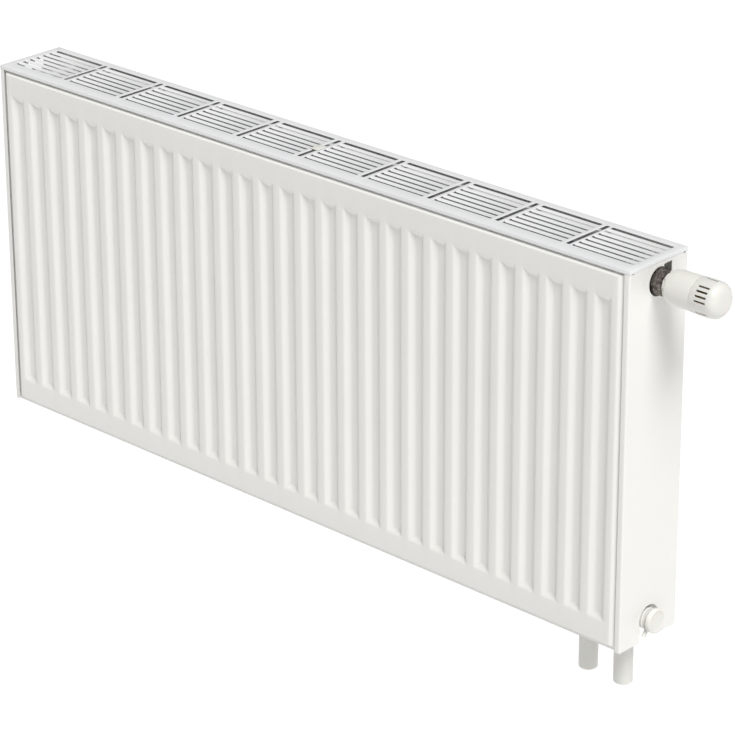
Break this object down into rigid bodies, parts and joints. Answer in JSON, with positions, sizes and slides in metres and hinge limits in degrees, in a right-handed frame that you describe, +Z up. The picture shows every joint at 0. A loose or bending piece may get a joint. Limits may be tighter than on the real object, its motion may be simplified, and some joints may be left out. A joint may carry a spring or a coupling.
{
  "type": "steel panel radiator",
  "caption": "Wall-hung steel panel radiator with vertical pressed channels, top grille, side covers, thermostatic head and bottom pipe stubs.",
  "frame": {"origin": "middle of the length, on the hanging lugs' wall side plane, level with the panels' bottom edge", "axes": "+X along the length towards the valve end, +Y towards the wall, +Z up"},
  "size_m": [1.087, 0.112, 0.5175],
  "materials": {
    "enamel_white": "smooth white stove enamel, satin gloss",
    "plastic_white": "white moulded plastic, fine satin",
    "nickel_plated": "nickel-plated brass, knurled and satin",
    "brass_bare": "turned brass",
    "steel_spring": "bright spring steel",
    "rubber_black": "black seal rubber"
  },
  "bodies": {
    "radiator": {"front_panel_outer_sheet": "enamel_white", "front_panel_inner_sheet": "enamel_white", "rear_panel_inner_sheet": "enamel_white", "rear_panel_outer_sheet": "enamel_white", "front_convector": "enamel_white", "rear_convector": "enamel_white", "top_grille": "enamel_white", "left_side_cover": "enamel_white", "right_side_cover": "enamel_white", "top_left_hub": "enamel_white", "bottom_left_hub": "enamel_white", "top_right_hub": "enamel_white", "bottom_right_hub": "enamel_white", "connection_bracket": "enamel_white", "riser_pipe": "enamel_white", "upper_left_lug": "enamel_white", "lower_left_lug": "enamel_white", "upper_right_lug": "enamel_white", "lower_right_lug": "enamel_white", "drain_plug": "enamel_white", "grille_centre_clip": "plastic_white", "supply_sleeve": "plastic_white", "return_sleeve": "plastic_white", "head_base": "plastic_white", "supply_nipple": "nickel_plated", "return_nipple": "nickel_plated", "left_blind_plug": "nickel_plated", "bleed_plug": "nickel_plated", "union_nut": "nickel_plated", "valve_insert": "brass_bare", "left_grille_clip": "steel_spring", "right_grille_clip": "steel_spring", "valve_spring": "steel_spring", "left_blind_plug_seal": "rubber_black", "bleed_plug_seal": "rubber_black", "drain_plug_seal": "rubber_black", "valve_insert_seal": "rubber_black", "spindle_packing": "rubber_black"},
    "handwheel": {"handwheel": "plastic_white", "handwheel_vented_cap": "plastic_white"},
    "valve_stem": {"valve_spindle": "steel_spring", "valve_disc": "rubber_black", "pusher_pin": "plastic_white", "sensor_capsule": "brass_bare"},
    "preset": {"preset_ring": "plastic_white"},
    "bleed_screw": {"bleed_screw": "brass_bare"},
    "bleed_spout": {"bleed_spout": "plastic_white"},
    "drain_screw": {"drain_screw": "brass_bare", "drain_plug_cap": "plastic_white"},
    "drain_spout": {"drain_spout": "plastic_white"}
  },
  "joints": [
    {"name": "handwheel_turn", "type": "hinge", "parent": "radiator", "child": "handwheel", "pos_m": [0.553, -0.061, 0.425], "axis": [1, 0, 0], "range_deg": [-149, 149]},
    {"name": "spindle_lift", "type": "slide", "parent": "radiator", "child": "valve_stem", "axis": [1, 0, 0], "range_m": [-0.0013, 0.0013]},
    {"name": "preset_turn", "type": "hinge", "parent": "radiator", "child": "preset", "pos_m": [0.5057, -0.061, 0.425], "axis": [1, 0, 0], "range_deg": [0, 315]},
    {"name": "bleed_screw_turn", "type": "hinge", "parent": "radiator", "child": "bleed_screw", "pos_m": [-0.486, -0.061, 0.425], "axis": [1, 0, 0], "range_deg": [0, 360]},
    {"name": "bleed_spout_swivel", "type": "hinge", "parent": "radiator", "child": "bleed_spout", "pos_m": [-0.494, -0.061, 0.425], "axis": [1, 0, 0], "continuous": true},
    {"name": "drain_screw_turn", "type": "hinge", "parent": "radiator", "child": "drain_screw", "pos_m": [0.509, -0.061, 0.025], "axis": [1, 0, 0], "range_deg": [0, 360]},
    {"name": "drain_spout_swivel", "type": "hinge", "parent": "radiator", "child": "drain_spout", "pos_m": [0.5036, -0.061, 0.025], "axis": [1, 0, 0], "continuous": true}
  ],
  "couplings": [
    {"joint": "handwheel_turn", "follows": "spindle_lift", "rad_per_m": 2000}
  ]
}
